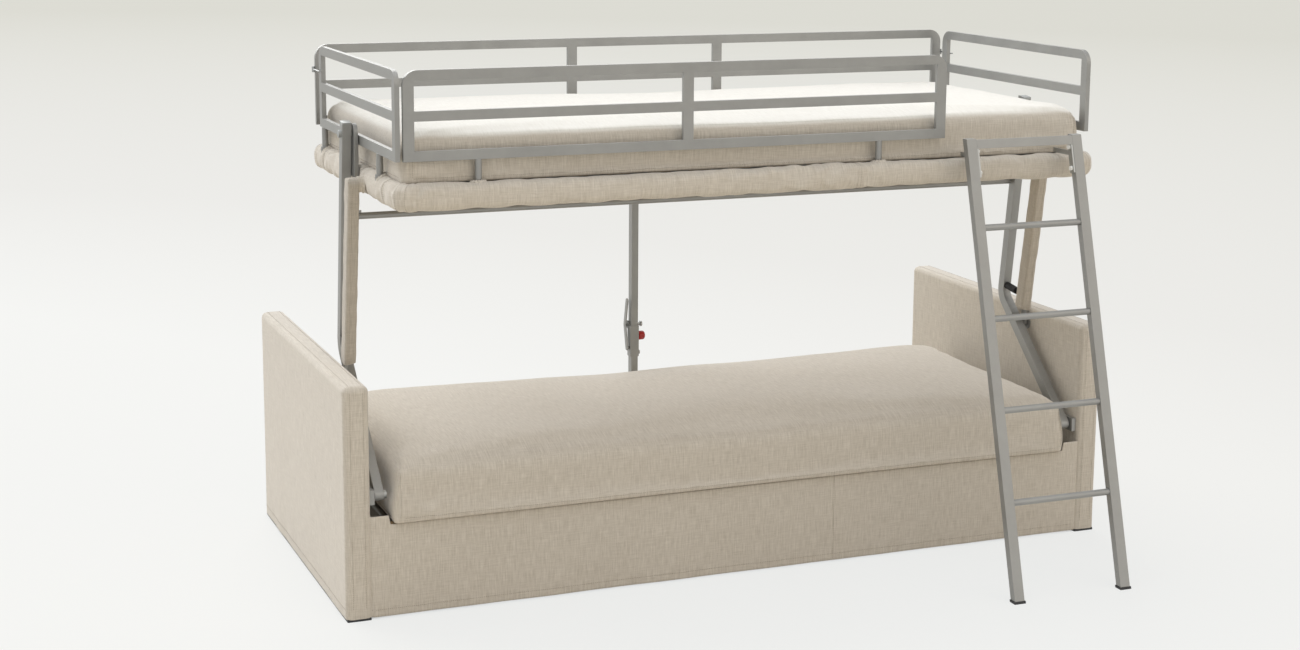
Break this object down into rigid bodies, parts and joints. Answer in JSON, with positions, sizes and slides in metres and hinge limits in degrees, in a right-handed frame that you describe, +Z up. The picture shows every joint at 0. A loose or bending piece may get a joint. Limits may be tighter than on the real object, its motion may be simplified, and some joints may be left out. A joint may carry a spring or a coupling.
{
  "type": "bunk sofa bed",
  "caption": "Upholstered sofa bed shown opened into a bunk bed: arms, lower mattress, folding bunk on bent legs, guard rails and a ladder",
  "frame": {"origin": "middle of the overall box's underside, on the floor", "axes": "+X along the sofa to its right, +Y from the front to the back, +Z up"},
  "size_m": [2.13, 1.4264, 1.347],
  "materials": {
    "linen": "woven linen, natural beige",
    "pale_linen": "woven linen, pale beige",
    "grey_steel": "satin silver-grey powder coat",
    "bright_steel": "zinc plated",
    "timber": "sanded plywood",
    "black_plastic": "moulded",
    "black_rubber": "matt",
    "red_plastic": "moulded",
    "white_plastic": "moulded cap"
  },
  "bodies": {
    "base": {"arm_board_left": "timber", "arm_board_right": "timber", "arm_cover_left": "linen", "arm_cover_right": "linen", "arm_glides": "black_plastic", "base_bearers": "grey_steel", "base_feet": "black_plastic", "base_frame": "grey_steel", "seat_slats": "timber", "front_board": "timber", "rear_board": "timber", "front_skirt": "linen", "lower_mattress": "linen", "foot_pivot_brackets": "grey_steel", "foot_pivot_pins": "bright_steel", "link_pivot_brackets": "grey_steel", "prop_foot_bracket": "grey_steel"},
    "legs": {"leg_left": "grey_steel", "leg_right": "grey_steel", "leg_crossbar": "grey_steel", "leg_caps": "bright_steel", "stop_bumpers": "black_rubber", "bunk_pivot_pins": "bright_steel"},
    "side_links": {"link_left": "grey_steel", "link_right": "grey_steel", "sleeve_left": "linen", "sleeve_right": "linen", "link_top_pins": "bright_steel"},
    "bunk": {"bunk_frame": "grey_steel", "bunk_slats": "timber", "bunk_pivot_plates": "grey_steel", "back_panel": "linen", "roll_front": "linen", "roll_rear": "linen", "roll_left": "linen", "roll_right": "linen", "rail_sockets": "grey_steel", "rail_eyelets": "linen", "upper_mattress": "pale_linen"},
    "front_rail": {"guard_rail_front": "grey_steel"},
    "rear_rail": {"guard_rail_rear": "grey_steel"},
    "left_rail": {"guard_rail_left": "grey_steel"},
    "right_rail": {"guard_rail_right": "grey_steel"},
    "left_hook": {"corner_hook_left": "bright_steel"},
    "right_hook": {"corner_hook_right": "bright_steel"},
    "prop_foot_half": {"prop_lower": "grey_steel"},
    "prop_head_half": {"prop_upper": "grey_steel", "prop_knee_pin": "bright_steel"},
    "prop_lever": {"prop_lock_lever": "grey_steel"},
    "prop_knob": {"prop_release_knob": "red_plastic"},
    "ladder": {"ladder_rails": "grey_steel", "ladder_rungs": "grey_steel", "ladder_top_bar": "grey_steel", "ladder_hooks": "grey_steel", "ladder_bolts": "white_plastic", "ladder_feet": "black_plastic"}
  },
  "joints": [
    {"name": "fold", "type": "hinge", "parent": "base", "child": "legs", "pos_m": [0, -0.21278, 0.305], "axis": [-1, 0, 0], "range_deg": [0, 58]},
    {"name": "bunk_turn", "type": "hinge", "parent": "legs", "child": "bunk", "pos_m": [0, 0.05022, 1.16], "axis": [-1, 0, 0], "range_deg": [0, 32]},
    {"name": "link_turn", "type": "hinge", "parent": "base", "child": "side_links", "pos_m": [0, 0.03622, 0.54367], "axis": [-1, 0, 0], "range_deg": [0, 89.39]},
    {"name": "prop_fold", "type": "hinge", "parent": "base", "child": "prop_foot_half", "pos_m": [-0.028, 0.50122, 0.045], "axis": [-1, 0, 0], "range_deg": [0, 90]},
    {"name": "prop_knee", "type": "hinge", "parent": "prop_foot_half", "child": "prop_head_half", "pos_m": [-0.028, 0.51322, 0.515], "axis": [-1, 0, 0], "range_deg": [0, 178]},
    {"name": "lever_turn", "type": "hinge", "parent": "prop_foot_half", "child": "prop_lever", "pos_m": [-0.044, 0.50122, 0.449], "axis": [-1, 0, 0], "range_deg": [0, 35]},
    {"name": "knob_pull", "type": "slide", "parent": "prop_foot_half", "child": "prop_knob", "axis": [1, 0, 0], "range_m": [0, 0.008], "stiffness_N_per_m": 800, "springref_m": -0.002},
    {"name": "front_rail_lift", "type": "slide", "parent": "bunk", "child": "front_rail", "axis": [0, 0, 1], "range_m": [0, 0.07]},
    {"name": "rear_rail_lift", "type": "slide", "parent": "bunk", "child": "rear_rail", "axis": [0, 0, 1], "range_m": [0, 0.07]},
    {"name": "left_rail_lift", "type": "slide", "parent": "bunk", "child": "left_rail", "axis": [0, 0, 1], "range_m": [0, 0.07]},
    {"name": "right_rail_lift", "type": "slide", "parent": "bunk", "child": "right_rail", "axis": [0, 0, 1], "range_m": [0, 0.07]},
    {"name": "left_hook_turn", "type": "hinge", "parent": "rear_rail", "child": "left_hook", "pos_m": [-0.9503, 0.49022, 1.281], "axis": [0, 0, -1], "range_deg": [0, 90]},
    {"name": "right_hook_turn", "type": "hinge", "parent": "rear_rail", "child": "right_hook", "pos_m": [0.9503, 0.49022, 1.281], "axis": [0, 0, 1], "range_deg": [0, 90]},
    {"name": "ladder_lift", "type": "slide", "parent": "base", "child": "ladder", "axis": [0, 0, 1], "range_m": [0, 0.15]}
  ],
  "couplings": [
    {"joint": "bunk_turn", "follows": "fold", "ratio": 0.55172},
    {"joint": "link_turn", "follows": "fold", "ratio": 1.5411},
    {"joint": "prop_fold", "follows": "fold", "ratio": 1.5517}
  ]
}
